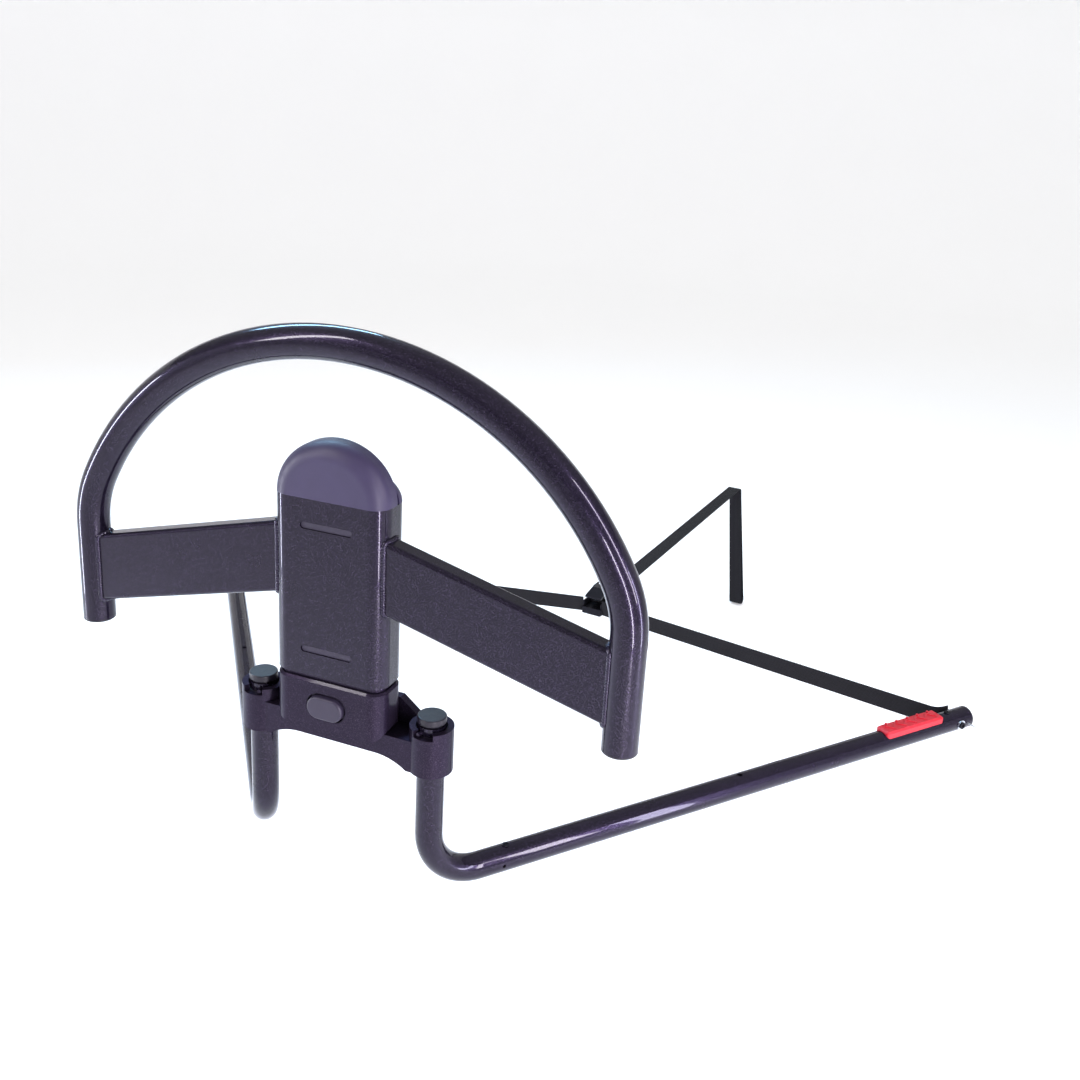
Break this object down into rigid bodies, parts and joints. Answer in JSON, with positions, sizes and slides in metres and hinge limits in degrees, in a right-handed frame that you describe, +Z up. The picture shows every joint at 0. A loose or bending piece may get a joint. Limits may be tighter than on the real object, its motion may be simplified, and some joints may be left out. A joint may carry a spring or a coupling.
{
  "type": "bed assist rail",
  "caption": "Arched steel bed assist handle on a lift-off column, with two swivelling base legs, red grip pads, a release button and webbing straps joined by a cam buckle.",
  "frame": {"origin": "on the bed base that the legs lie on, midway between the legs, in the plane of the hoop", "axes": "+X to the right along the bed's side, +Y from the handle across the bed, +Z up"},
  "size_m": [1.1594, 1.4397, 0.7882],
  "materials": {
    "coat": "gloss",
    "satin_coat": "satin",
    "weld_coat": "gloss",
    "purple_plastic": "matte",
    "grey_plastic": "matte",
    "black_plastic": "satin",
    "black_metal": "satin",
    "zinc_steel": "satin",
    "red_rubber": "matte",
    "webbing": "woven"
  },
  "bodies": {
    "base": {"socket_collar": "satin_coat", "support_post": "coat", "bracket": "satin_coat", "bracket_screws": "zinc_steel", "barrel_bush_left": "black_plastic", "barrel_bush_right": "black_plastic", "button_spring": "zinc_steel", "cross_strap_left": "webbing", "cross_strap_right": "webbing", "bed_strap": "webbing", "buckle_frame": "black_metal", "buckle_axle": "zinc_steel"},
    "handle": {"hoop_tube": "coat", "hoop_plug_left": "black_plastic", "hoop_plug_right": "black_plastic", "crossbar_left": "coat", "crossbar_right": "coat", "weld_beads": "weld_coat", "column_tube": "coat", "column_core": "grey_plastic", "top_cap": "purple_plastic"},
    "button": {"release_button": "grey_plastic", "latch_plate": "zinc_steel"},
    "left_leg": {"leg_tube_left": "coat", "pivot_plug_left": "purple_plastic", "stop_pin_left": "satin_coat", "leg_plug_left": "black_plastic", "grip_pad_left": "red_rubber", "bolt_washer_left": "zinc_steel", "end_bolt_left": "black_metal", "bolt_nut_left": "zinc_steel", "leg_screws_left": "black_metal", "cotter_pin_left": "zinc_steel"},
    "right_leg": {"leg_tube_right": "coat", "pivot_plug_right": "purple_plastic", "stop_pin_right": "satin_coat", "leg_plug_right": "black_plastic", "grip_pad_right": "red_rubber", "bolt_washer_right": "zinc_steel", "end_bolt_right": "black_metal", "bolt_nut_right": "zinc_steel", "leg_screws_right": "black_metal", "cotter_pin_right": "zinc_steel"},
    "cam": {"buckle_cam": "black_metal"}
  },
  "joints": [
    {"name": "handle_lift", "type": "slide", "parent": "base", "child": "handle", "axis": [0, 0, 1], "range_m": [0, 0.14]},
    {"name": "button_press", "type": "slide", "parent": "base", "child": "button", "axis": [0, 1, 0], "range_m": [0, 0.003], "stiffness_N_per_m": 800, "springref_m": -0.002, "deforming": ["button_spring"]},
    {"name": "left_leg_swivel", "type": "hinge", "parent": "base", "child": "left_leg", "pos_m": [-0.092, 0.0189, 0.16], "axis": [0, 0, 1], "range_deg": [-38, 0], "deforming": ["cross_strap_left"]},
    {"name": "right_leg_swivel", "type": "hinge", "parent": "base", "child": "right_leg", "pos_m": [0.092, 0.0189, 0.16], "axis": [0, 0, 1], "range_deg": [0, 38], "deforming": ["cross_strap_right"]},
    {"name": "cam_open", "type": "hinge", "parent": "base", "child": "cam", "pos_m": [0.03534, 0.74587, 0.026], "axis": [-0.9938, 0.1114, 0], "range_deg": [0, 70]}
  ]
}
